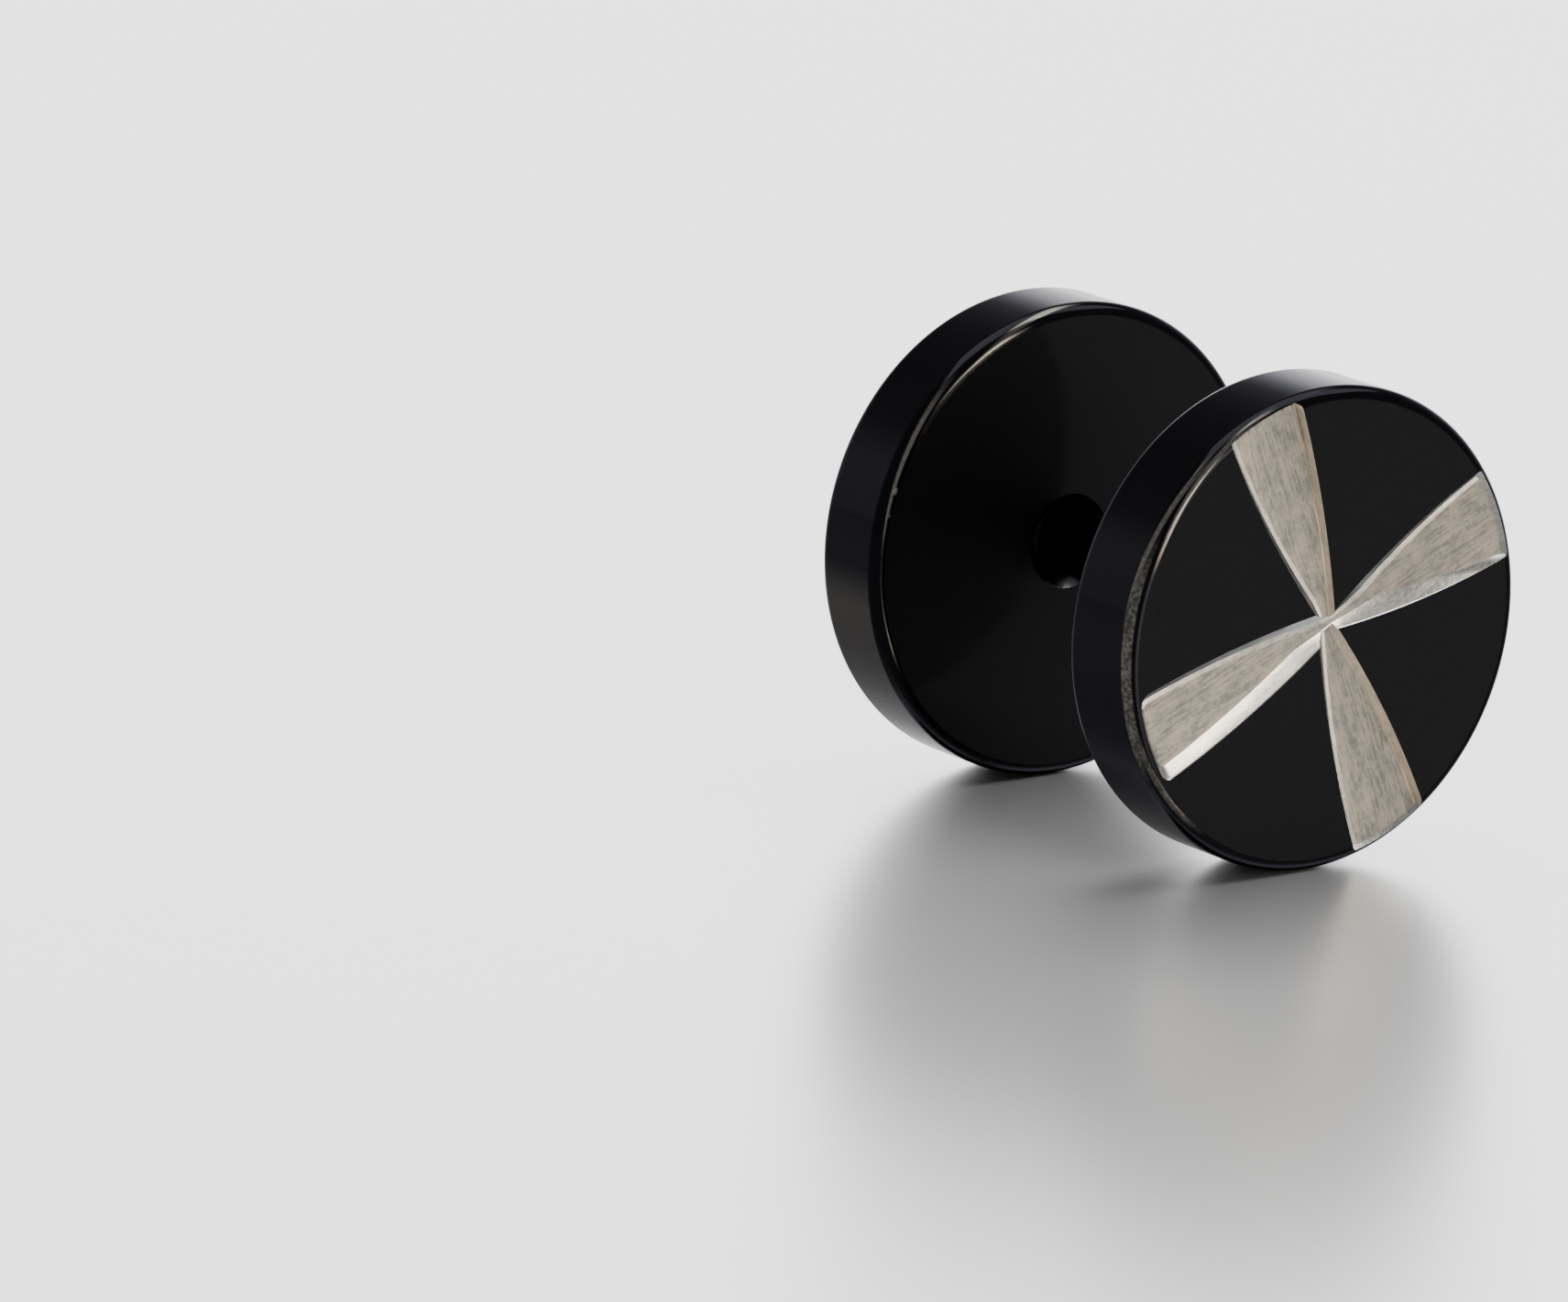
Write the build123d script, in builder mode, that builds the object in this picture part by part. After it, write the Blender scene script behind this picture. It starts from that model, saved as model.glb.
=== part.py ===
"""Fake plug earring: two black steel discs joined by a thin screwed post, in millimetres.

The earring stands on the rims of its discs, as it lies on a table. Its axis runs along Y, the
decorated face looks along -Y, +Z is up, and the origin is on the table under its middle.
"""
import os
from collections import namedtuple
from math import radians, tan

from build123d import *

# Discs
DISC_DIAMETER = 10.0
FRONT_THICKNESS = 2.0
BACK_THICKNESS = 1.9
EDGE_ROUND = 0.25

# Post between the discs: the clear length is what the ear lobe fills
WEAR_LENGTH = 6.35
POST_DIAMETER = 1.4
SEAT_DEPTH = 1.2
SEAT_CLEARANCE = 0.02
TIP_CHAMFER = 0.15

# Thread at the back end of the post, as ring grooves, and its hole in the back disc
THREAD_PITCH = 0.3
THREAD_DEPTH = 0.16
THREAD_LENGTH = 1.4
THREAD_CLEARANCE = 0.04
HOLE_DEPTH = 1.5
COUNTERSINK_DIAMETER = 2.0
COUNTERSINK_ANGLE = 90

# Cross of four milled troughs on the front face: flat floors between two sloping sides. It sits a
# little off the middle of the face, to the right and up. Its cutters rise a little above the face
CROSS_RIGHT = 0.07
CROSS_UP = 0.12
TROUGH_DEPTH = 0.1
WAIST_SLOPE_SHARE = 0.8
CUTTER_RISE = 0.05

# The troughs end in a slope along a circle near the rim, whose middle is a little off the disc's
ENDS_RIGHT = 0.05
ENDS_UP = 0.05
END_ANGLE = 45

# Reaches from the crossing, as shares of the disc's radius: the sections of a trough, where a
# trough would be widest, and where it has its full depth
SECTION_REACHES = [0.04, 0.15, 0.30, 0.50, 0.75, 1.06]
WIDEST_REACH = 1.15
DEEPEST_REACH = 0.9

# Long edges of the troughs, as shares of the disc's radius: half width at the crossing, what the
# trough gains to this side out to its widest reach, and width of the sloping side with the share
# of it that is lost on the way to the rim
LongEdge = namedtuple("LongEdge", "waist swell slope taper")

# One row for each straight cut, which makes two troughs: its turn about the axis in degrees, its
# depth at the crossing as a share of the full one, the radius of the circle at its ends as a share
# of the disc's, and the edges of the trough at that turn and of the one behind it, clockwise and
# counterclockwise of its middle
Cut = namedtuple("Cut", "turn waist_sink ends clockwise counter behind_clockwise behind_counter")
CUTS = [
    Cut(
        turn=23,
        waist_sink=0.60,
        ends=0.957,
        clockwise=LongEdge(waist=0.029, swell=0.178, slope=0.120, taper=0.95),
        counter=LongEdge(waist=0.019, swell=0.199, slope=0.070, taper=0.45),
        behind_clockwise=LongEdge(waist=0.058, swell=0.141, slope=0.060, taper=0.25),
        behind_counter=LongEdge(waist=0.057, swell=0.150, slope=0.085, taper=0.30),
    ),
    Cut(
        turn=113,
        waist_sink=0.45,
        ends=0.984,
        clockwise=LongEdge(waist=0.042, swell=0.150, slope=0.030, taper=0.20),
        counter=LongEdge(waist=0.020, swell=0.174, slope=0.045, taper=0.25),
        behind_clockwise=LongEdge(waist=0.050, swell=0.145, slope=0.040, taper=0.25),
        behind_counter=LongEdge(waist=0.031, swell=0.164, slope=0.040, taper=0.25),
    ),
]

# Places along Y, worked out from the sizes
disc_radius = DISC_DIAMETER / 2
post_radius = POST_DIAMETER / 2
length = FRONT_THICKNESS + WEAR_LENGTH + BACK_THICKNESS
front_y = -length / 2
front_inner_y = front_y + FRONT_THICKNESS
back_y = length / 2
back_inner_y = back_y - BACK_THICKNESS
seat_y = front_inner_y - SEAT_DEPTH
tip_y = back_inner_y + THREAD_LENGTH
hole_radius = post_radius + THREAD_CLEARANCE


def face_plane(y, outward):
    """Plane across the axis at y, with X to the right and its normal along outward * Y."""
    return Plane(origin=(0, y, disc_radius), x_dir=(1, 0, 0), z_dir=(0, outward, 0))


def rounded_disc(plane, thickness):
    """Plain disc behind a plane, with both of its edges rounded."""
    with BuildPart() as disc:
        with BuildSketch(plane):
            Circle(disc_radius)
        extrude(amount=-thickness)
        fillet(disc.edges().filter_by(GeomType.CIRCLE), EDGE_ROUND)
    return disc.part


def cut_plane(face, cut, reach):
    """Plane across a cut at a reach from the crossing: X to the cut's left, Y out of the face."""
    along = face.x_dir.rotate(Axis(face.origin, face.z_dir), cut.turn)
    crossing = face.origin + Vector(CROSS_RIGHT, 0, CROSS_UP)
    return Plane(
        origin=crossing + along * reach * disc_radius,
        x_dir=face.z_dir.cross(along),
        z_dir=along,
    )


def share_reached(reach, full_reach):
    """Share of a size that is reached at a reach, along a parabola that levels out at the full one."""
    return 1 - (1 - min(reach / full_reach, 1)) ** 2


def side_widths(edge, reach):
    """Half width of a trough to one side and the width of its sloping side there, in millimetres."""
    width = edge.waist + edge.swell * share_reached(reach, WIDEST_REACH)
    slope = min(edge.slope * (1 - edge.taper * min(reach, 1)), WAIST_SLOPE_SHARE * width)
    return width * disc_radius, slope * disc_radius


def trough_depth(cut, reach):
    """Depth of a cut's floor at a reach."""
    sink = cut.waist_sink + (1 - cut.waist_sink) * share_reached(reach, DEEPEST_REACH)
    return TROUGH_DEPTH * sink


def cut_sections(cut):
    """Signed reach, left and right widths and depth of each section of a cut, end to end."""
    sections = []
    for reach in reversed(SECTION_REACHES):
        left = side_widths(cut.behind_clockwise, reach)
        right = side_widths(cut.behind_counter, reach)
        sections.append((-reach, left, right, trough_depth(cut, reach)))
    for reach in SECTION_REACHES:
        left = side_widths(cut.counter, reach)
        right = side_widths(cut.clockwise, reach)
        sections.append((reach, left, right, trough_depth(cut, reach)))
    return sections


def trough_outline(left, right, depth):
    """Outline across a trough: its slopes run on above the face so that the cut is clean."""
    left_width, left_slope = left
    right_width, right_slope = right
    Polyline(
        (left_width + left_slope * CUTTER_RISE / depth, CUTTER_RISE),
        (left_width - left_slope, -depth),
        (right_slope - right_width, -depth),
        (-right_width - right_slope * CUTTER_RISE / depth, CUTTER_RISE),
        close=True,
    )


def trough_cutter(face, cut):
    """Solid that mills the two opposite troughs of a cut out of a face."""
    above = face.z_dir * CUTTER_RISE
    ends_plane = Plane(
        origin=face.origin + Vector(ENDS_RIGHT, 0, ENDS_UP) + above,
        x_dir=face.x_dir,
        z_dir=-face.z_dir,
    )
    with BuildPart() as cutter:
        for reach, left, right, depth in cut_sections(cut):
            with BuildSketch(cut_plane(face, cut, reach)):
                with BuildLine():
                    trough_outline(left, right, depth)
                make_face()
        loft(ruled=True)
        with BuildSketch(ends_plane):
            Circle(cut.ends * disc_radius + CUTTER_RISE * tan(radians(END_ANGLE)))
        extrude(amount=TROUGH_DEPTH + 2 * CUTTER_RISE, taper=END_ANGLE, mode=Mode.INTERSECT)
    return cutter.part


front_face = face_plane(front_y, -1)

with BuildPart() as front_disc:
    add(rounded_disc(front_face, FRONT_THICKNESS))
    with BuildSketch(face_plane(front_inner_y, 1)):
        Circle(post_radius + SEAT_CLEARANCE)
    extrude(amount=-SEAT_DEPTH, mode=Mode.SUBTRACT)
    for cut in CUTS:
        add(trough_cutter(front_face, cut), mode=Mode.SUBTRACT)

with BuildPart() as back_disc:
    add(rounded_disc(face_plane(back_y, 1), BACK_THICKNESS))
    with Locations(Location(face_plane(back_inner_y, -1))):
        CounterSinkHole(
            radius=hole_radius,
            counter_sink_radius=COUNTERSINK_DIAMETER / 2,
            depth=HOLE_DEPTH,
            counter_sink_angle=COUNTERSINK_ANGLE,
        )

with BuildPart() as post:
    with BuildSketch(face_plane(tip_y, 1)):
        Circle(post_radius)
    extrude(amount=seat_y - tip_y)
    chamfer(post.faces().sort_by(Axis.Y)[-1].edges(), TIP_CHAMFER)
    groove_count = int((THREAD_LENGTH - TIP_CHAMFER) / THREAD_PITCH)
    axis = Axis(origin=(0, 0, disc_radius), direction=(0, 1, 0))
    with BuildSketch(Plane(origin=(0, 0, disc_radius), x_dir=(0, 1, 0), z_dir=(1, 0, 0))):
        for groove in range(groove_count):
            middle = tip_y - TIP_CHAMFER - (groove + 0.5) * THREAD_PITCH
            with BuildLine():
                Polyline(
                    (middle - THREAD_PITCH / 2, post_radius),
                    (middle, post_radius - THREAD_DEPTH),
                    (middle + THREAD_PITCH / 2, post_radius),
                    close=True,
                )
            make_face()
    revolve(axis=axis, mode=Mode.SUBTRACT)

os.makedirs("parts", exist_ok=True)
front_disc.part.label = "front_disc"
export_step(front_disc.part, "parts/front_disc.step")
back_disc.part.label = "back_disc"
export_step(back_disc.part, "parts/back_disc.step")
post.part.label = "post"
export_step(post.part, "parts/post.step")
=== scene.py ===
"""Fake plug earring on a pale studio floor.

Two black coated steel discs stand on their rims at the two ends of a thin post. Four bare steel
arms are milled into the front disc's face, and the back disc screws onto the post's thread. Pieces
are shaped in millimetres, each in its own space with its axis along Z, and turned into metres when
they are put in their places.
"""
import logging
import math
from collections.abc import Iterable, Sequence
from dataclasses import dataclass
from enum import Enum, IntEnum

import bmesh
import bpy
from mathutils import Matrix, Vector


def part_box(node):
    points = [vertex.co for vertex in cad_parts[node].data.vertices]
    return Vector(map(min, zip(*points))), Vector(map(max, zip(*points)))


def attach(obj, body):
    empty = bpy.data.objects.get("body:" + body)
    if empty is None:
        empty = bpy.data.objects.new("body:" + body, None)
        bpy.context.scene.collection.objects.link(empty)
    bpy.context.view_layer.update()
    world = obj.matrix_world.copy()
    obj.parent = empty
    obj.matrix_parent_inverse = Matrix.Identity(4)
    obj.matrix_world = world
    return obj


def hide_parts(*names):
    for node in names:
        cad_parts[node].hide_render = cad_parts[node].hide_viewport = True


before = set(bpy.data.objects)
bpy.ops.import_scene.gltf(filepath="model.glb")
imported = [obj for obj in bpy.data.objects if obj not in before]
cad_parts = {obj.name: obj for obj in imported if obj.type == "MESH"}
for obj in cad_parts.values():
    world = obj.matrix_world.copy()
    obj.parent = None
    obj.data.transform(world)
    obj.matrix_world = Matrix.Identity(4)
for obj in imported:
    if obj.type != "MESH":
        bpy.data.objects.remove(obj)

MM = 0.001
FULL_TURN = 2 * math.pi
MERGE_DISTANCE = 1e-4
SHARP_ANGLE = 18
ROUND_PROFILE = 0.5

Colour = tuple[float, float, float]

log = logging.getLogger("earring")


class Facing(Enum):
    """The way that the end of a turned shape looks along the post."""

    FRONT = -1
    BACK = 1

    def placement(self, y: float, height: float) -> Matrix:
        """Matrix that lays a shape built along local Z with its end at y.

        Args:
            y: Place of the end along the post.
            height: Height of the axis above the table.

        Returns:
            Matrix from the shape's own space to the earring's, in millimetres.
        """
        turn = Matrix.Rotation(-self.value * FULL_TURN / 4, 4, "X")
        return Matrix.Translation((0, y, height)) @ turn


class Slot(Enum):
    """Material slots of a piece, in the order in which a mesh counts them."""

    COAT = 0
    STEEL = 1
    SLOPE = 2
    # Copies of the sloping sides' steel with light painted in: a warm painted highlight, painted
    # shade and painted light
    PAINTED_HIGHLIGHT_SLOPE = 3
    PAINTED_SHADE_SLOPE = 4
    PAINTED_LIGHT_SLOPE = 5


class Work(Enum):
    """Work of one solid on another."""

    CUT = "DIFFERENCE"
    KEEP = "INTERSECT"


class MixSocket(IntEnum):
    """Places of the colour sockets on a Mix node."""

    SHARE = 0
    RESULT = 2
    FIRST = 6
    SECOND = 7


class Value:
    """Output socket of a node, with the arithmetic that shader maths needs."""

    def __init__(self, tree: "Tree", socket: bpy.types.NodeSocket) -> None:
        """Keeps the tree and the socket."""
        self.tree = tree
        self.socket = socket

    def maths(self, operation: str, *others: "Value | float") -> "Value":
        """Adds a Math node.

        Args:
            operation: The node's operation.
            others: Second and third operands.

        Returns:
            The node's result.
        """
        sockets = dict(enumerate((self, *others)))
        return self.tree.add("ShaderNodeMath", {"operation": operation}, sockets)

    def __add__(self, other: "Value | float") -> "Value":
        """Sum."""
        return self.maths("ADD", other)

    def __radd__(self, other: float) -> "Value":
        """Sum, from the right."""
        return self + other

    def __mul__(self, other: "Value | float") -> "Value":
        """Product."""
        return self.maths("MULTIPLY", other)

    def __rmul__(self, other: float) -> "Value":
        """Product, from the right."""
        return self * other

    def __sub__(self, other: "Value | float") -> "Value":
        """Difference."""
        return self.maths("SUBTRACT", other)

    def __rsub__(self, other: float) -> "Value":
        """Difference, from the right."""
        return self * -1 + other

    def __abs__(self) -> "Value":
        """Size without its sign."""
        return self.maths("ABSOLUTE")

    def __gt__(self, other: "Value | float") -> "Value":
        """One where this is the greater, and zero elsewhere."""
        return self.maths("GREATER_THAN", other)

    def __lt__(self, other: "Value | float") -> "Value":
        """One where this is the lesser, and zero elsewhere."""
        return self.maths("LESS_THAN", other)

    def step(self, low: float, high: float) -> "Value":
        """Smooth step.

        Args:
            low: Where the step starts, at zero.
            high: Where it ends, at one.

        Returns:
            The step's value.
        """
        settings = {"interpolation_type": "SMOOTHSTEP"}
        sockets = {"Value": self, "From Min": low, "From Max": high}
        return self.tree.add("ShaderNodeMapRange", settings, sockets)


Feed = Value | float | Sequence[float]


class Tree:
    """Node tree of a material or of the world."""

    def __init__(self, owner: bpy.types.Material | bpy.types.World) -> None:
        """Empties the owner's node tree."""
        owner.use_nodes = True
        self.tree = owner.node_tree
        self.tree.nodes.clear()

    def add(
        self,
        kind: str,
        settings: dict[str, object] | None = None,
        sockets: dict[str | int, Feed] | None = None,
        output: str | int = 0,
    ) -> Value:
        """Adds a node of any kind.

        Args:
            kind: The node's type name.
            settings: Properties that are set first; "stops" are a ramp's positions and colours.
            sockets: Values or links of the input sockets.
            output: Output socket that is wanted.

        Returns:
            That output.
        """
        node = self.tree.nodes.new(kind)
        for name, value in (settings or {}).items():
            if name == "stops":
                self.set_stops(node.color_ramp.elements, value)
            else:
                setattr(node, name, value)
        for name, value in (sockets or {}).items():
            if isinstance(value, Value):
                self.tree.links.new(value.socket, node.inputs[name])
            else:
                node.inputs[name].default_value = value
        return Value(self, node.outputs[output] if node.outputs else None)

    def set_stops(
        self, elements: bpy.types.ColorRampElements, stops: dict[float, Colour]
    ) -> None:
        """Fills a ramp.

        Args:
            elements: The ramp's stops, two of them at first.
            stops: Colour at each position, in order.
        """
        while len(elements) < len(stops):
            elements.new(1.0)
        for element, (position, colour) in zip(elements, stops.items()):
            element.position = position
            element.color = (*colour, 1.0)

    def place(self, centre: Sequence[float]) -> Value:
        """Object coordinates in millimetres.

        Args:
            centre: Point that becomes the origin, in millimetres.

        Returns:
            The coordinates as a vector.
        """
        sockets = {
            "Vector": self.add("ShaderNodeTexCoord", output="Object"),
            "Scale": [1 / MM] * 3,
            "Location": [-part for part in centre],
        }
        return self.add("ShaderNodeMapping", None, sockets)

    def vector(self, operation: str, first: Feed, second: Feed = (0, 0, 0)) -> Value:
        """Vector sum, product or the like.

        Args:
            operation: The node's operation.
            first: First operand.
            second: Second operand, where there is one.

        Returns:
            The result, a number for a dot product or a length.
        """
        number = operation in ("DOT_PRODUCT", "LENGTH")
        settings = {"operation": operation}
        output = "Value" if number else "Vector"
        return self.add("ShaderNodeVectorMath", settings, {0: first, 1: second}, output)

    def blend(self, share: Feed, first: Feed, second: Feed, way: str = "MIX") -> Value:
        """Mix of two colours.

        Args:
            share: Share of the second.
            first: Colour or link.
            second: Colour or link.
            way: The node's way of mixing.

        Returns:
            The mixed colour.
        """
        settings = {"data_type": "RGBA", "blend_type": way}
        sockets = {
            MixSocket.SHARE: share,
            MixSocket.FIRST: self.opaque(first),
            MixSocket.SECOND: self.opaque(second),
        }
        return self.add("ShaderNodeMix", settings, sockets, MixSocket.RESULT)

    def opaque(self, colour: Feed) -> Feed:
        """A plain colour with its fourth part, or a link as it is."""
        return colour if isinstance(colour, Value) else (*colour, 1.0)

    def bump(self, height: Value, distance: float) -> Value:
        """Bumped normal.

        Args:
            height: Height between zero and one.
            distance: Height of one, in millimetres.

        Returns:
            The normal.
        """
        return self.add("ShaderNodeBump", None, {"Height": height, "Distance": distance * MM})

    def surface(self, sockets: dict[str, Feed]) -> None:
        """Ends the tree with a principled surface.

        Args:
            sockets: Values or links of the surface's sockets.
        """
        shader = self.add("ShaderNodeBsdfPrincipled", None, sockets)
        self.add("ShaderNodeOutputMaterial", None, {"Surface": shader})


@dataclass(frozen=True)
class Pattern:
    """Noise over a surface, and the levels that become zero and one where it is spread.

    Attributes:
        scale: Number of lumps in a millimetre, or one number for each axis.
        detail: Finer layers.
        rough: Strength of the finer layers.
        low: Level that becomes zero.
        high: Level that becomes one.
    """

    scale: float | tuple[float, float, float]
    detail: float
    rough: float = 0.5
    low: float = 0.0
    high: float = 1.0

    def over(self, tree: Tree, place: Value) -> Value:
        """Lays the noise over a surface.

        Args:
            tree: Tree that the nodes go to.
            place: Coordinates in millimetres.

        Returns:
            The noise, between zero and one.
        """
        scale = self.scale
        if isinstance(scale, tuple):
            place, scale = tree.vector("MULTIPLY", place, scale), 1.0
        sockets = {"Vector": place, "Scale": scale, "Detail": self.detail, "Roughness": self.rough}
        return tree.add("ShaderNodeTexNoise", None, sockets)

    def spread(self, tree: Tree, place: Value) -> Value:
        """The noise, spread between its two levels."""
        return self.over(tree, place).step(self.low, self.high)


def layered(layers: Sequence[Value], shares: Sequence[float]) -> Value:
    """Sum of layers in their shares.

    Args:
        layers: The layers.
        shares: Share of each.

    Returns:
        The sum.
    """
    total = layers[0] * shares[0]
    for layer, share in zip(layers[1:], shares[1:]):
        total = total + layer * share
    return total


@dataclass(frozen=True)
class SheenAndWearBand:
    """Line along part of a rounded edge, painted lighter: a painted highlight where the lamps
    reflect, speckled with wear where the coating is rubbed thin.

    Attributes:
        around: Angles round the disc where it starts and ends, 0 at the left and 90 at the top.
        across: Angles round the edge at both ends, 90 at the face, 0 at the rim and less on it.
        width: Its width as an angle round the edge.
        share: Share of bare steel on it.
        even: Part of that share that lies between its specks too.
        fade: Angle over which its borders fade.
        end_fade: Angle over which its ends fade.
    """

    around: tuple[float, float]
    across: tuple[float, float]
    width: float
    share: float
    even: float
    fade: float = 9.0
    end_fade: float = 9.0

    def cover(self, turn: Value, angle: Value, specks: Value) -> Value:
        """Share of bare steel.

        Args:
            turn: Angle round the disc in degrees.
            angle: Angle round the edge in degrees.
            specks: Speckled pattern between zero and one.

        Returns:
            The share, zero off the band.
        """
        first, last = self.around
        here, there = self.across
        slant = (there - here) / (last - first)
        middle = (turn - first) * slant + here
        half_width = self.width / 2
        half_length = abs(last - first) / 2
        within = abs(angle - middle).step(half_width + self.fade, half_width)
        between = abs(turn - (first + last) / 2).step(
            half_length + self.end_fade, half_length - self.end_fade
        )
        return within * between * (specks * (1 - self.even) + self.even) * self.share


@dataclass(frozen=True)
class BlackCoat:
    """Mirror-polished black coating of a disc or the post, painted lighter in lines along turned
    edges: painted highlights, speckled where the coating is rubbed thin.

    Attributes:
        name: Name of the material.
        radius: Radius of the disc.
        worn_end: Place along the post of the face beside the edge with the painted lines, which
            looks forward.
        edge_round: Radius of its rounded edges.
        height: Height of the axis above the table.
        bands: Lines along that edge: painted highlights with wear, and on the back disc a painted
            sheen over the rim.
        edge_tint: Tint of its reflections near grazing angles.
        bare: Colour of rubbed-thin coating and of dust, also painted on as the highlights along
            the edge and the sheen on the back rim.
        haze: Roughness that wiped smears add.
        bare_roughness: Roughness that the dust, the wear and the painted lines add.
        scratch: Height of the fine turning marks in millimetres.
        dust_share: Share of pale dust on a speck of it.
        dust_scale: Number of specks in a millimetre.
        dust_size: Distances from a speck's middle at which it starts to fade and is gone.
        veil: Weight of the thin dull film over the flat faces.
        rim_veil: Weight of that film on the rim and its rounded edges.
        veil_roughness: Roughness of that film.
        smears: Pattern of the smears.
        marks: Pattern of the turning marks.
        specks: Pattern of bare specks in the lines along the edge.
    """

    name: str
    radius: float
    worn_end: float
    edge_round: float
    height: float
    bands: tuple[SheenAndWearBand, ...] = ()
    black: Colour = (0.0048, 0.0048, 0.0058)
    edge_tint: Colour = (0.56, 0.56, 0.575)
    bare: Colour = (0.30, 0.28, 0.24)
    polish: float = 0.07
    haze: float = 0.08
    bare_roughness: float = 0.30
    scratch: float = 0.00014
    dust_share: float = 0.05
    dust_scale: float = 1.1
    dust_size: tuple[float, float] = (0.015, 0.04)
    veil: float = 0.15
    rim_veil: float = 0.02
    veil_roughness: float = 0.6
    smears: Pattern = Pattern(0.35, 3, low=0.35, high=0.75)
    marks: Pattern = Pattern((9.0, 1.2, 9.0), 4, 0.6)
    specks: Pattern = Pattern(11.0, 3, 0.7, low=0.40, high=0.62)

    def material(self) -> bpy.types.Material:
        """Builds the material.

        Returns:
            Black metal with wiped haze, dust, and painted highlight lines and wear along an edge.
        """
        made = bpy.data.materials.new(self.name)
        tree = Tree(made)
        place = tree.place((0, self.worn_end, self.height))
        # Share of the lighter colour: dust, wear, and the painted highlights and sheen along the
        # edge
        lightened = self.dust(tree, place)
        if self.bands:
            lightened = lightened.maths("MAXIMUM", self.sheen_and_wear(tree, place))
        flat = self.radius - self.edge_round > self.radial(tree, place)
        haze = self.smears.spread(tree, place) * self.haze
        tree.surface({
            "Base Color": tree.blend(lightened, self.black, self.bare),
            "Metallic": 1.0,
            "Specular Tint": (*self.edge_tint, 1.0),
            "Roughness": haze + self.polish + lightened * self.bare_roughness,
            "Normal": tree.bump(self.marks.over(tree, place), self.scratch),
            "Coat Weight": flat * (self.veil - self.rim_veil) + self.rim_veil,
            "Coat Roughness": self.veil_roughness,
        })
        return made

    def radial(self, tree: Tree, place: Value) -> Value:
        """Distance from the axis."""
        return tree.vector("LENGTH", tree.vector("MULTIPLY", place, (1, 0, 1)))

    def sheen_and_wear(self, tree: Tree, place: Value) -> Value:
        """Share of bare steel colour that the lines along the edge give: painted highlights with
        wear, and the back rim's painted sheen.

        Args:
            tree: Tree that the nodes go to.
            place: Coordinates from the middle of the face beside the edge.

        Returns:
            The share, zero away from the lines.
        """
        inward = tree.vector("DOT_PRODUCT", place, (0, 1, 0))
        outward = self.radial(tree, place) - (self.radius - self.edge_round)
        angle = (self.edge_round - inward).maths("ARCTAN2", outward) * math.degrees(1)
        left = tree.vector("DOT_PRODUCT", place, (-1, 0, 0))
        above = tree.vector("DOT_PRODUCT", place, (0, 0, 1))
        turn = above.maths("ARCTAN2", left) * math.degrees(1)
        specks = self.specks.spread(tree, place)
        covers = [band.cover(turn, angle, specks) for band in self.bands]
        total = covers[0]
        for cover in covers[1:]:
            total = total.maths("MAXIMUM", cover)
        return total

    def dust(self, tree: Tree, place: Value) -> Value:
        """A few tiny specks of dust.

        Args:
            tree: Tree that the nodes go to.
            place: Coordinates.

        Returns:
            A small share on the specks, zero elsewhere.
        """
        cells = {"Vector": place, "Scale": self.dust_scale}
        distance = tree.add("ShaderNodeTexVoronoi", None, cells, "Distance")
        return (1 - distance.step(*self.dust_size)) * self.dust_share


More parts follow.
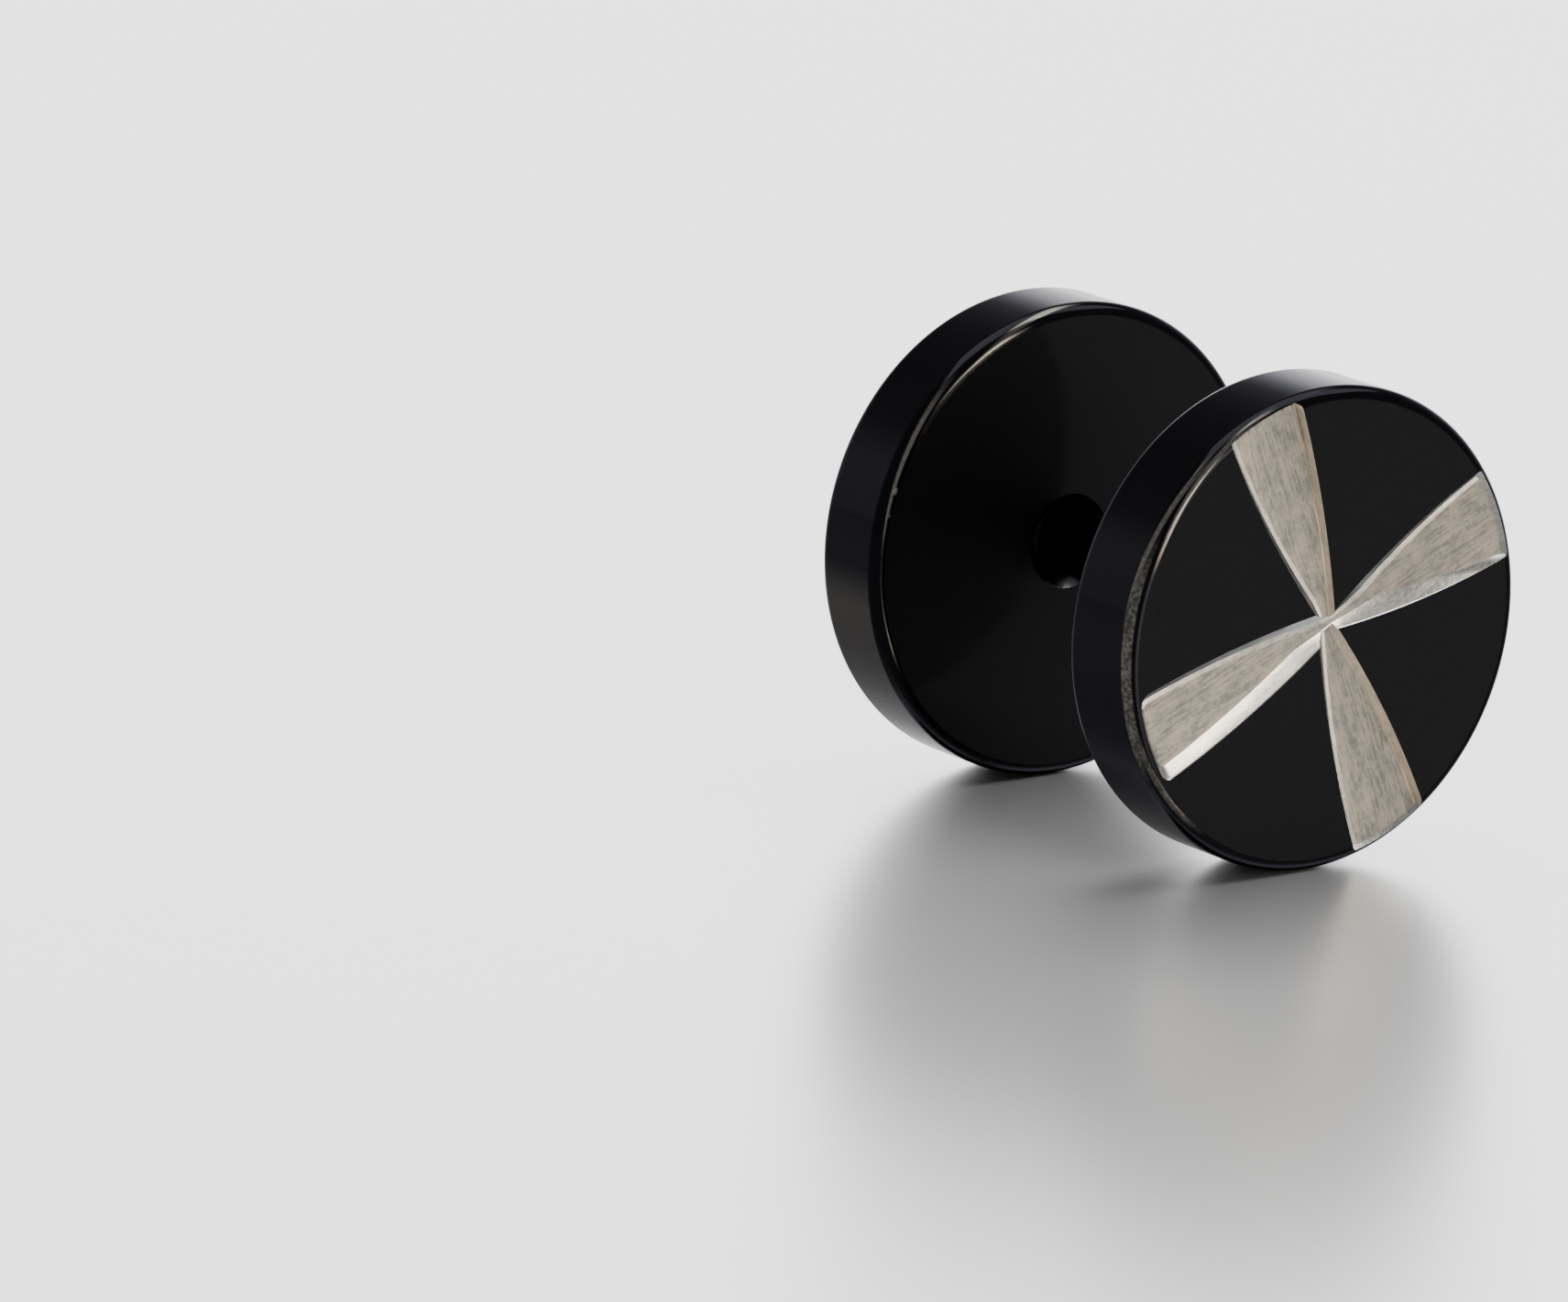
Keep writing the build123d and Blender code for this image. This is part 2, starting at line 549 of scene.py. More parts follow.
@dataclass(frozen=True)
class BareSteel:
    """Milled steel, mottled with stains, with a fine grain along each arm.

    Attributes:
        name: Name of the material.
        cool: Colour of the cleaner metal.
        warm: Colour of the stained metal.
        stain: Share of the stained metal.
        contrast: Depth of the light and dark mottling.
        roughness: Mean roughness.
        grain: Height of the grain, in millimetres.
        streaks: Pattern of fine lines along an arm.
        mottle: Pattern of small spots.
        clouds: Pattern of larger spots.
        shade_shares: Shares of these three patterns in the mottling.
        shade_levels: Levels of the mottling that are darkest and lightest.
        stain_shares: Their shares in the stains.
        stain_levels: Levels at which a stain starts and is full.
        grain_shares: Their shares in the grain.
        roughness_spread: Spread of the roughness over the small spots.
    """

    name: str
    cool: Colour
    warm: Colour
    stain: float
    contrast: float
    roughness: float
    grain: float
    streaks: Pattern = Pattern((1.2, 22.0, 22.0), 3, 0.6)
    mottle: Pattern = Pattern((8.0, 12.0, 12.0), 5, 0.8)
    clouds: Pattern = Pattern((1.8, 2.6, 2.6), 3)
    shade_shares: tuple[float, float, float] = (0.3, 0.4, 0.3)
    shade_levels: tuple[float, float] = (0.40, 0.60)
    stain_shares: tuple[float, float, float] = (0.0, 0.6, 0.4)
    stain_levels: tuple[float, float] = (0.42, 0.60)
    grain_shares: tuple[float, float, float] = (0.4, 0.6, 0.0)
    roughness_spread: float = 0.2

    def material(self, turn: float, crossing: Sequence[float]) -> bpy.types.Material:
        """Builds the material.

        Args:
            turn: Turn of one of the two cuts about the axis, in degrees.
            crossing: Point where the arms cross, in millimetres.

        Returns:
            Bare metal with grain, streaks and stains.
        """
        made = bpy.data.materials.new(self.name)
        tree = Tree(made)
        along = self.along_arm(tree, tree.place(crossing), turn)
        mottle = self.mottle.over(tree, along)
        layers = (self.streaks.over(tree, along), mottle, self.clouds.over(tree, along))
        lightness = layered(layers, self.shade_shares).step(*self.shade_levels)
        shade = (lightness - 0.5) * self.contrast + 1
        stained = layered(layers, self.stain_shares).step(*self.stain_levels) * self.stain
        tint = tree.add("ShaderNodeCombineColor", None, {0: shade, 1: shade, 2: shade})
        metal = tree.blend(stained, self.cool, self.warm)
        tree.surface({
            "Base Color": tree.blend(1.0, metal, tint, "MULTIPLY"),
            "Metallic": 1.0,
            "Roughness": (mottle - 0.5) * self.roughness_spread + self.roughness,
            "Normal": tree.bump(layered(layers, self.grain_shares), self.grain),
        })
        return made

    def along_arm(self, tree: Tree, place: Value, turn: float) -> Value:
        """Coordinates that run along whichever arm a point is on.

        Args:
            tree: Tree that the nodes go to.
            place: Coordinates from the crossing.
            turn: Turn of one of the two cuts about the axis, in degrees.

        Returns:
            Vector of the way along the arm, the way across it and the way along the post.
        """
        angle = math.radians(turn)
        one = tree.vector("DOT_PRODUCT", place, (math.cos(angle), 0, math.sin(angle)))
        other = tree.vector("DOT_PRODUCT", place, (-math.sin(angle), 0, math.cos(angle)))
        depth = tree.vector("DOT_PRODUCT", place, (0, 1, 0))
        first = abs(one) > abs(other)
        along = one * first + other * (1 - first)
        across = other * first + one * (1 - first)
        return tree.add("ShaderNodeCombineXYZ", None, {0: along, 1: across, 2: depth})


@dataclass(frozen=True)
class TurnedSteel:
    """Thinly coated steel with fine turned rings about the post's axis, and a painted highlight on
    its lower part.

    Attributes:
        name: Name of the material.
        height: Height of the axis above the table.
        colour: Colour.
        bare: Colour of the painted highlight on the lower part of the countersink, below the axis.
        highlight_from: Distance below the axis at which the painted highlight starts, in
            millimetres.
        highlight_to: Distance below the axis at which the painted highlight is full.
        roughness: Roughness between the stains.
        stain_roughness: Roughness that the stains add.
        grain: Height of the rings in millimetres.
        rings: Pattern of the turned rings.
        stains: Pattern of the stains.
    """

    name: str
    height: float
    colour: Colour = (0.010, 0.010, 0.011)
    bare: Colour = (0.30, 0.30, 0.29)
    highlight_from: float = 0.70
    highlight_to: float = 0.82
    roughness: float = 0.14
    stain_roughness: float = 0.12
    grain: float = 0.0003
    rings: Pattern = Pattern((1.0, 30.0, 1.0), 2)
    stains: Pattern = Pattern(2.5, 4, low=0.4, high=0.7)

    def material(self) -> bpy.types.Material:
        """Builds the material.

        Returns:
            Dark metal with turned rings and a painted highlight below the axis.
        """
        made = bpy.data.materials.new(self.name)
        tree = Tree(made)
        place = tree.place((0, 0, self.height))
        # Painted highlight: the lower part of the countersink, below the axis, gets a lighter
        # metal colour
        below = tree.vector("DOT_PRODUCT", place, (0, 0, -1))
        lightened = below.step(self.highlight_from, self.highlight_to)
        tree.surface({
            "Base Color": tree.blend(lightened, self.colour, self.bare),
            "Metallic": 1.0,
            "Roughness": self.stains.spread(tree, place) * self.stain_roughness + self.roughness,
            "Normal": tree.bump(self.rings.over(tree, place), self.grain),
        })
        return made


@dataclass(frozen=True)
class PaleFloor:
    """Satin pale surface that mirrors the earring softly.

    Attributes:
        colour: Colour.
        metallic: Share of it that mirrors like metal.
        roughness: Roughness.
    """

    colour: Colour = (0.90, 0.90, 0.90)
    metallic: float = 0.9
    roughness: float = 0.30

    def material(self) -> bpy.types.Material:
        """Builds the material.

        Returns:
            Pale satin surface.
        """
        made = bpy.data.materials.new("pale_floor")
        Tree(made).surface({
            "Base Color": (*self.colour, 1.0),
            "Metallic": self.metallic,
            "Roughness": self.roughness,
        })
        return made


class Profile:
    """Half outline of a turned shape, drawn point by point in the XZ plane from its axis."""

    def __init__(self, x: float, z: float) -> None:
        """Starts the outline at a point."""
        self.mesh = bmesh.new()
        self.tip = self.mesh.verts.new((x, 0, z))

    def line(self, x: float, z: float) -> "Profile":
        """Draws a straight line to a point, and gives the outline back."""
        self.tip = bmesh.ops.extrude_vert_indiv(self.mesh, verts=[self.tip])["verts"][0]
        self.tip.co = (x, 0, z)
        return self

    def quarter(self, x: float, z: float, steps: int) -> "Profile":
        """Draws a quarter of a circle.

        Args:
            x: Distance of the centre from the axis.
            z: Place of the centre along the axis.
            steps: Number of short lines.

        Returns:
            The outline.
        """
        made = bmesh.ops.spin(
            self.mesh, geom=[self.tip], cent=(x, 0, z), axis=(0, 1, 0),
            angle=FULL_TURN / 4, steps=steps,
        )
        self.tip = [part for part in made["geom_last"] if isinstance(part, bmesh.types.BMVert)][0]
        return self

    def turned(self, facets: int) -> bmesh.types.BMesh:
        """Spins the outline about its axis.

        Args:
            facets: Number of steps in the full turn.

        Returns:
            A closed mesh with one face across each flat end.
        """
        mesh = self.mesh
        bmesh.ops.spin(
            mesh, geom=mesh.verts[:] + mesh.edges[:], cent=(0, 0, 0), axis=(0, 0, 1),
            angle=FULL_TURN, steps=facets, use_merge=True,
        )
        bmesh.ops.remove_doubles(mesh, verts=mesh.verts[:], dist=MERGE_DISTANCE)
        on_axis = [vert for vert in mesh.verts if vert.co.xy.length < MERGE_DISTANCE]
        for pole in on_axis:
            bmesh.ops.dissolve_faces(mesh, faces=list(pole.link_faces))
        loose = [vert for vert in mesh.verts if not vert.link_faces]
        bmesh.ops.delete(mesh, geom=loose, context="VERTS")
        bmesh.ops.recalc_face_normals(mesh, faces=mesh.faces[:])
        return mesh


def as_object(
    mesh: bmesh.types.BMesh, name: str, finishes: Iterable[bpy.types.Material]
) -> bpy.types.Object:
    """Turns a bmesh into an object and links it to the scene.

    Args:
        mesh: The bmesh, which is freed.
        name: Name of the object.
        finishes: Its materials, in the order of the slots.

    Returns:
        The object.
    """
    data = bpy.data.meshes.new(name)
    mesh.to_mesh(data)
    mesh.free()
    for finish in finishes:
        data.materials.append(finish)
    made = bpy.data.objects.new(name, data)
    bpy.context.scene.collection.objects.link(made)
    return made


def worked(
    body: bpy.types.Object, tools: Sequence[bpy.types.Object], work: Work
) -> bmesh.types.BMesh:
    """Works on a body with tools one after the other, and removes all of them from the scene.

    Args:
        body: Object that is worked on.
        tools: Objects that are cut out of it, or that it is kept inside.
        work: The work that they do.

    Returns:
        What is left of the body.
    """
    for tool in tools:
        step = body.modifiers.new(tool.name, "BOOLEAN")
        step.object = tool
        step.operation = work.value
        step.solver = "EXACT"
        step.material_mode = "INDEX"
    bpy.context.view_layer.update()
    evaluated = body.evaluated_get(bpy.context.evaluated_depsgraph_get())
    left = bmesh.new()
    left.from_mesh(evaluated.to_mesh())
    evaluated.to_mesh_clear()
    for used in (*tools, body):
        data = used.data
        bpy.data.objects.remove(used)
        bpy.data.meshes.remove(data)
    bmesh.ops.dissolve_degenerate(left, edges=left.edges[:], dist=MERGE_DISTANCE)
    return left


def finished(
    mesh: bmesh.types.BMesh, name: str, placement: Matrix, finishes: Iterable[bpy.types.Material]
) -> bpy.types.Object:
    """Shades a mesh smooth between its sharp corners and puts it in its place.

    Args:
        mesh: Mesh in its own space, in millimetres, which is freed.
        name: Name of the piece.
        placement: Its place in the earring, in millimetres.
        finishes: Its materials, in the order of the slots.

    Returns:
        The piece, in metres.
    """
    # The coated faces across the axis stay flat, and all the others are shaded smooth
    across = 1 - MERGE_DISTANCE
    for face in mesh.faces:
        face.smooth = abs(face.normal.z) < across or face.material_index != Slot.COAT.value
    for edge in mesh.edges:
        slots = {face.material_index for face in edge.link_faces}
        corner = edge.calc_face_angle(0.0) > math.radians(SHARP_ANGLE)
        edge.smooth = not (corner or len(slots) > 1)
    bmesh.ops.transform(mesh, matrix=Matrix.Scale(MM, 4) @ placement, verts=mesh.verts[:])
    return as_object(mesh, name, finishes)


@dataclass(frozen=True)
class LongEdge:
    """One long edge of an arm of the cross, in shares of the disc's radius.

    Attributes:
        waist: Half width of the arm on this side where the arms cross.
        swell: What the half width gains out to the arm's widest reach.
        slope: Width of the sloping side.
        taper: Share of the sloping side's width that is lost on the way to the rim.
        sag: Depth of the sloping side half way across, as a share of the floor's depth.
        outer: Material slot of the outer half of the sloping side.
        inner: Material slot of its inner half.
        corner: Rounding of the corner at the rim in millimetres.
    """

    waist: float
    swell: float
    slope: float
    taper: float
    sag: float = 1.22
    outer: Slot = Slot.SLOPE
    inner: Slot = Slot.SLOPE
    corner: float = 0.1


@dataclass(frozen=True)
class Cut:
    """One straight cut across the face, which makes two arms.

    Attributes:
        turn: Its turn about the axis in degrees, anticlockwise from the right.
        waist_sink: Depth where the arms cross, as a share of the full depth.
        ends: Radius of the circle at its ends, as a share of the disc's.
        ahead: Clockwise and anticlockwise long edges of the arm at that turn.
        behind: The same of the opposite arm.
    """

    turn: float
    waist_sink: float
    ends: float
    ahead: tuple[LongEdge, LongEdge]
    behind: tuple[LongEdge, LongEdge]

    def rotation(self) -> Matrix:
        """Turn of the cut in the disc's own space."""
        return Matrix.Rotation(math.radians(self.turn), 3, "Z")

    def sides(self, ahead: bool) -> tuple[LongEdge, LongEdge]:
        """Long edges of one of its arms.

        Args:
            ahead: Whether it is the arm ahead.

        Returns:
            The edges at the left and at the right of someone who looks along the cut.
        """
        clockwise, counter = self.ahead if ahead else self.behind
        return (counter, clockwise) if ahead else (clockwise, counter)


@dataclass
class MilledCross:
    """Cross of four shallow arms: flat floors between sloping sides, which sag a little.

    Attributes:
        radius: Radius of the disc.
        cuts: The two cuts.
        centre: Where they cross, to the right of the axis and above it.
        ends_centre: Middle of the circles at the arms' ends.
        depth: Depth of an arm at the rim.
        widest_reach: Reach at which an arm would be widest, in radii from the crossing.
        deepest_reach: Reach at which it has its full depth.
        slope_share: Greatest width of a sloping side as a share of the half width.
        knee: Share of a sloping side's width that lies outside its lowest line.
        lip: Width and depth of the fine lip along the top of a side.
        lip_share: Greatest width of the lip as a share of the side's.
        passing: Reach within which one arm passes into the opposite one.
        overrun: Reach of a cutter, past the rim.
        stations: Sections of each arm's cutter up to its rounded corners.
        corners_from: Reach from which the sections lie closer together.
        corner_stations: Sections from there on.
        clearance: How far a cutter stands out of the face.
        valley: Rounding of the lines between floor and sides.
        valley_steps: Faces across that rounding.
        end_facets: Faces round the circle at the ends.
    """

    radius: float
    cuts: tuple[Cut, ...]
    centre: tuple[float, float] = (0.07, 0.12)
    ends_centre: tuple[float, float] = (0.05, 0.05)
    depth: float = 0.1
    widest_reach: float = 1.15
    deepest_reach: float = 0.9
    slope_share: float = 0.8
    knee: float = 0.58
    lip: float = 0.016
    lip_share: float = 0.3
    passing: float = 0.04
    overrun: float = 1.06
    stations: int = 20
    corners_from: float = 0.84
    corner_stations: int = 22
    clearance: float = 0.06
    valley: float = 0.02
    valley_steps: int = 3
    end_facets: int = 256

    def reached(self, reach: float, full_reach: float) -> float:
        """Share of a size that is reached at a reach, along a parabola up to the full one."""
        return 1 - (1 - min(reach / full_reach, 1)) ** 2

    def rounding(
        self, edge: LongEdge, end: float, shift: tuple[float, float], along: float, width: float
    ) -> float:
        """What the rounded corner at the end of a long edge takes off the half width.

        Args:
            edge: The long edge.
            end: Radius of the circle at the end.
            shift: Place of the crossing from that circle's middle, along the arm and to its side.
            along: Distance from the crossing.
            width: Half width.

        Returns:
            The loss in millimetres, as are all of these lengths.
        """
        inside = width - edge.corner + shift[1]
        start = math.sqrt(end ** 2 - inside ** 2) - shift[0] - edge.corner
        past = min(max(along - start, 0), edge.corner)
        return edge.corner - math.sqrt(edge.corner ** 2 - past ** 2)

    def side(
        self, cut: Cut, edge: LongEdge, reach: float, shift: tuple[float, float]
    ) -> list[tuple[float, float]]:
        """Points across one side of an arm.

        Args:
            cut: The cut.
            edge: The side's long edge.
            reach: Distance from the crossing, in radii.
            shift: Place of the crossing from the middle of the circle at the end.

        Returns:
            Distances from the arm's middle and heights, from above the face to the floor.
        """
        sink = cut.waist_sink + (1 - cut.waist_sink) * self.reached(reach, self.deepest_reach)
        depth = self.depth * sink
        share = edge.waist + edge.swell * self.reached(reach, self.widest_reach)
        width = share * self.radius
        width -= self.rounding(edge, cut.ends * self.radius, shift, reach * self.radius, width)
        slope = min(
            edge.slope * (1 - edge.taper * min(reach, 1)), self.slope_share * share,
        ) * self.radius
        lip = min(self.lip, self.lip_share * slope)
        return [
            (width + self.clearance, self.clearance),
            (width, 0),
            (width - lip, -lip),
            (width - slope * self.knee, -depth * edge.sag),
            (width - slope, -depth),
        ]

    def outline(self, cut: Cut, reach: float) -> list[Vector]:
        """Corners of a cutter's section.

        Args:
            cut: The cut.
            reach: Reach of the section along the cut, negative on its behind arm.

        Returns:
            Corners in the disc's own space, from the left over the floor to the right.
        """
        left, right = cut.sides(reach > 0)
        turn = cut.rotation()
        crossing = Vector((*self.centre, 0))
        along, across, _ = turn.transposed() @ (crossing - Vector((*self.ends_centre, 0)))
        along = math.copysign(along, along * reach)
        rows = self.side(cut, left, abs(reach), (along, across))
        rows += [(-x, z) for x, z in reversed(self.side(cut, right, abs(reach), (along, -across)))]
        return [crossing + turn @ Vector((reach * self.radius, x, z)) for x, z in rows]

    def cutter(self, cut: Cut) -> bmesh.types.BMesh:
        """Cutter of two opposite arms.

        Args:
            cut: The cut.

        Returns:
            A closed mesh whose faces carry the slots of floor and sloping sides.
        """
        mesh = bmesh.new()
        corner = mesh.verts.layers.int.new("corner")
        wide = (self.corners_from - self.passing) / self.stations
        fine = (self.overrun - self.corners_from) / self.corner_stations
        half = [self.passing + wide * number for number in range(self.stations)]
        half += [self.corners_from + fine * number for number in range(self.corner_stations + 1)]
        reaches = [-reach for reach in reversed(half)] + half
        points = self.outline(cut, reaches[0])
        verts = [mesh.verts.new(point) for point in points]
        for number, vert in enumerate(verts):
            vert[corner] = number
        face = mesh.faces.new(verts)
        for number, reach in enumerate(reaches[1:]):
            made = bmesh.ops.extrude_face_region(mesh, geom=[face])["geom"]
            if number:
                # The first section closes the cutter. The others would be walls inside it
                bmesh.ops.delete(mesh, geom=[face], context="FACES_ONLY")
            face = [part for part in made if isinstance(part, bmesh.types.BMFace)][0]
            moved = self.outline(cut, reach)
            for vert in face.verts:
                vert.co = moved[vert[corner]]
        bmesh.ops.recalc_face_normals(mesh, faces=mesh.faces[:])
        self.paint(mesh, cut, corner)
        return mesh

    def paint(
        self, mesh: bmesh.types.BMesh, cut: Cut, corner: bmesh.types.BMLayerItem
    ) -> None:
        """Gives a cutter's faces their slots and rounds the lines beside its floor.

        Args:
            mesh: The cutter.
            cut: The cut that it makes.
            corner: Layer with each corner's number in its section.
        """
        last = max(vert[corner] for vert in mesh.verts)
        floor = {last // 2, last // 2 + 1}
        along = cut.rotation() @ Vector((1, 0, 0))
        valleys = set()
        for face in mesh.faces:
            corners = {vert[corner] for vert in face.verts}
            ahead = (face.calc_center_median() - Vector((*self.centre, 0))).dot(along) > 0
            left, right = cut.sides(ahead)
            side = left if min(corners) < last // 2 else right
            slot = side.inner if corners & floor else side.outer
            if corners == floor:
                slot = Slot.STEEL
                valleys |= {
                    edge for edge in face.edges
                    if edge.verts[0][corner] == edge.verts[1][corner]
                }
            face.material_index = slot.value
        rounded = set(bmesh.ops.bevel(
            mesh, geom=list(valleys), offset=self.valley, segments=self.valley_steps,
            profile=ROUND_PROFILE, affect="EDGES", material=-1,
        )["faces"])
        # The bevel gives the middle of its strips the slot of either neighbour, so it is set here
        for face in rounded:
            if all(rounded.issuperset(edge.link_faces) for edge in face.edges):
                face.material_index = Slot.STEEL.value

    def ends(self, cut: Cut) -> bmesh.types.BMesh:
        """Cone that a cutter is kept inside, which gives the arms their sloping ends.

        Args:
            cut: The cut.

        Returns:
            A closed mesh with its sloping side as steep as it is wide.
        """
        deep = 2 * (self.depth + self.clearance)
        rim = cut.ends * self.radius
        high = 2 * self.clearance
        profile = Profile(0, high).line(rim + high, high)
        profile.line(rim - deep, -deep).line(0, -deep)
        mesh = profile.turned(self.end_facets)
        bmesh.ops.translate(mesh, verts=mesh.verts[:], vec=(*self.ends_centre, 0))
        for face in mesh.faces:
            face.material_index = Slot.SLOPE.value
        return mesh

    def cutter_object(
        self, cut: Cut, finishes: Sequence[bpy.types.Material]
    ) -> bpy.types.Object:
        """Builds the whole cutter of a cut.

        Args:
            cut: The cut.
            finishes: Materials in the order of the slots.

        Returns:
            The cutter with its sloping ends.
        """
        blank = as_object(self.cutter(cut), "blank_cutter", finishes)
        cone = as_object(self.ends(cut), "ends", finishes)
        return as_object(worked(blank, [cone], Work.KEEP), "cutter", finishes)


@dataclass(kw_only=True)
class Disc:
    """Round disc with rounded edges and a round recess for the post in its inner face.

    Attributes:
        name: Name of the piece.
        facing: The way that its outer face looks.
        outer: Place of the outer face along the post.
        thickness: Thickness.
        radius: Radius, which is also the height of the axis.
        recess_radius: Radius of the recess.
        recess_depth: Depth of the recess from the inner face.
        mouth: Width and depth of the cone at the mouth of the recess.
        bands: Lines along the rounded edge that looks forward: painted highlights with wear, and
            on the back disc a painted sheen over the rim.
        edge_round: Radius of the rounded edges.
        edge_steps: Faces across a rounded edge.
        support: Width of the narrow faces that keep the flats flat beside a rounded edge.
        facets: Faces round the rim.
    """

    name: str
    facing: Facing
    outer: float
    thickness: float
    radius: float
    recess_radius: float
    recess_depth: float
    mouth: float
    bands: tuple[SheenAndWearBand, ...]
    edge_round: float = 0.25
    edge_steps: int = 10
    support: float = 0.02
    facets: int = 256

    def coat(self) -> bpy.types.Material:
        """Builds the disc's own coating."""
        forward = self.outer
        if self.facing is Facing.BACK:
            forward -= self.thickness
        return BlackCoat(
            name=f"{self.name}_coat", radius=self.radius, worn_end=forward,
            edge_round=self.edge_round, height=self.radius, bands=self.bands,
        ).material()

    def placement(self) -> Matrix:
        """Place of the disc in the earring."""
        return self.facing.placement(self.outer, self.radius)

    def body(self) -> bmesh.types.BMesh:
        """Turns the disc.

        Returns:
            A closed mesh in the disc's own space, with its outer face up at zero.
        """
        flat = self.radius - self.edge_round
        inner = -self.thickness
        profile = Profile(0, 0).line(flat - self.support, 0).line(flat, 0)
        profile.quarter(flat, -self.edge_round, self.edge_steps)
        profile.line(self.radius, -self.edge_round - self.support)
        profile.line(self.radius, inner + self.edge_round + self.support)
        profile.line(self.radius, inner + self.edge_round)
        profile.quarter(flat, inner + self.edge_round, self.edge_steps)
        profile.line(flat - self.support, inner)
        profile.line(self.recess_radius + self.mouth, inner)
        profile.line(self.recess_radius, inner + self.mouth)
        profile.line(self.recess_radius, inner + self.recess_depth)
        profile.line(0, inner + self.recess_depth)
        return profile.turned(self.facets)


@dataclass(kw_only=True)
class FrontDisc(Disc):
    """Front disc, whose outer face carries the milled cross.

    Attributes:
        cross: The cross.
        arm_finishes: Finishes of its floors and sides, in the order of the slots after the coat.
    """

    cross: MilledCross
    arm_finishes: tuple[BareSteel, ...]

    def build(self) -> bpy.types.Object:
        """Turns the disc and mills its cross.

        Returns:
            The finished piece.
        """
        right, up = self.cross.centre
        crossing = (right, 0, self.radius + up)
        turn = self.cross.cuts[0].turn
        finishes = [self.coat()]
        finishes += [finish.material(turn, crossing) for finish in self.arm_finishes]
        body = as_object(self.body(), "blank", finishes)
        tools = [self.cross.cutter_object(cut, finishes) for cut in self.cross.cuts]
        return finished(worked(body, tools, Work.CUT), self.name, self.placement(), finishes)


@dataclass(kw_only=True)
class BackDisc(Disc):
    """Back disc, plain outside and with a hole for the thread and its countersink inside."""

    def build(self) -> bpy.types.Object:
        """Turns the disc and gives its countersink its own finish.

        Returns:
            The finished piece.
        """
        mesh = self.body()
        inner = -self.thickness
        for face in mesh.faces:
            middle = face.calc_center_median()
            in_mouth = middle.xy.length < self.recess_radius + self.mouth
            if in_mouth and inner < middle.z < inner + self.mouth:
                face.material_index = Slot.STEEL.value
        # The countersink's finish carries a painted highlight on its lower part
        finishes = [self.coat(), TurnedSteel("countersink_steel", self.radius).material()]
        return finished(mesh, self.name, self.placement(), finishes)


@dataclass
class Post:
    """Thin post with a screw thread at its back end.

    Attributes:
        name: Name of the piece.
        tip: Place of its back end along the axis.
        length: Length.
        radius: Radius.
        height: Height of the axis above the table.
        chamfer: Bevel at its back end.
        thread_length: Length of the thread from the tip.
        pitch: Pitch of the thread.
        thread_depth: Depth of the thread.
        crest: Share of the pitch that is left flat between two grooves.
        run_out: Part of a turn over which the groove runs out towards the plain shaft.
        clearance: How far the groove's cutter stands out of the post.
        facets: Faces round the post.
    """

    name: str
    tip: float
    length: float
    radius: float
    height: float
    chamfer: float = 0.15
    thread_length: float = 1.4
    pitch: float = 0.3
    thread_depth: float = 0.16
    crest: float = 0.12
    run_out: float = 0.35
    clearance: float = 0.05
    facets: int = 96

    def coat(self) -> bpy.types.Material:
        """Builds the post's own coating."""
        return BlackCoat(
            name=f"{self.name}_coat", radius=self.radius, worn_end=self.tip,
            edge_round=self.chamfer, height=self.height,
        ).material()

    def shaft(self) -> bmesh.types.BMesh:
        """Turns the plain shaft with its end up at zero."""
        profile = Profile(0, 0).line(self.radius - self.chamfer, 0)
        profile.line(self.radius, -self.chamfer)
        profile.line(self.radius, -self.length).line(0, -self.length)
        return profile.turned(self.facets)

    def groove(self) -> bmesh.types.BMesh:
        """Winds the thread's groove, shallow at its start.

        Returns:
            A closed helical cutter.
        """
        mesh = bmesh.new()
        half = self.pitch * (1 - self.crest) / 2
        top = half * (1 + self.clearance / self.thread_depth)
        start = half - self.thread_length
        corners = (
            (self.radius - self.thread_depth, start),
            (self.radius + self.clearance, start - top),
            (self.radius + self.clearance, start + top),
        )
        face = mesh.faces.new([mesh.verts.new((x, 0, z)) for x, z in corners])
        turns = self.thread_length / self.pitch + 1
        bmesh.ops.spin(
            mesh, geom=[face, *face.edges, *face.verts], cent=(0, 0, 0), axis=(0, 0, 1),
            dvec=(0, 0, self.pitch / self.facets), angle=FULL_TURN * turns,
            steps=round(self.facets * turns),
        )
        # The spin adds its sections in order, so a vertex's number says how far it is wound
        for number, vert in enumerate(mesh.verts):
            wound = number // len(corners) / (self.run_out * self.facets)
            lift = (self.thread_depth + self.clearance) * max(1 - wound, 0)
            vert.co += vert.co.xy.normalized().to_3d() * lift
        bmesh.ops.remove_doubles(mesh, verts=mesh.verts[:], dist=MERGE_DISTANCE)
        bmesh.ops.recalc_face_normals(mesh, faces=mesh.faces[:])
        return mesh

    def build(self) -> bpy.types.Object:
        """Turns the shaft and cuts its thread.

        Returns:
            The finished piece.
        """
        finishes = [self.coat()]
        shaft = as_object(self.shaft(), "shaft", finishes)
        groove = as_object(self.groove(), "groove", finishes)
        placement = Facing.BACK.placement(self.tip, self.height)
        return finished(worked(shaft, [groove], Work.CUT), self.name, placement, finishes)


def direction(azimuth: float, elevation: float) -> Vector:
    """Unit vector from the earring, with azimuth 0 in front of it and 90 at its right.

    Args:
        azimuth: Angle round the earring in degrees.
        elevation: Angle above the horizon in degrees.

    Returns:
        The vector.
    """
    turn, rise = math.radians(azimuth), math.radians(elevation)
    level = math.cos(rise)
    return Vector((math.sin(turn) * level, -math.cos(turn) * level, math.sin(rise)))


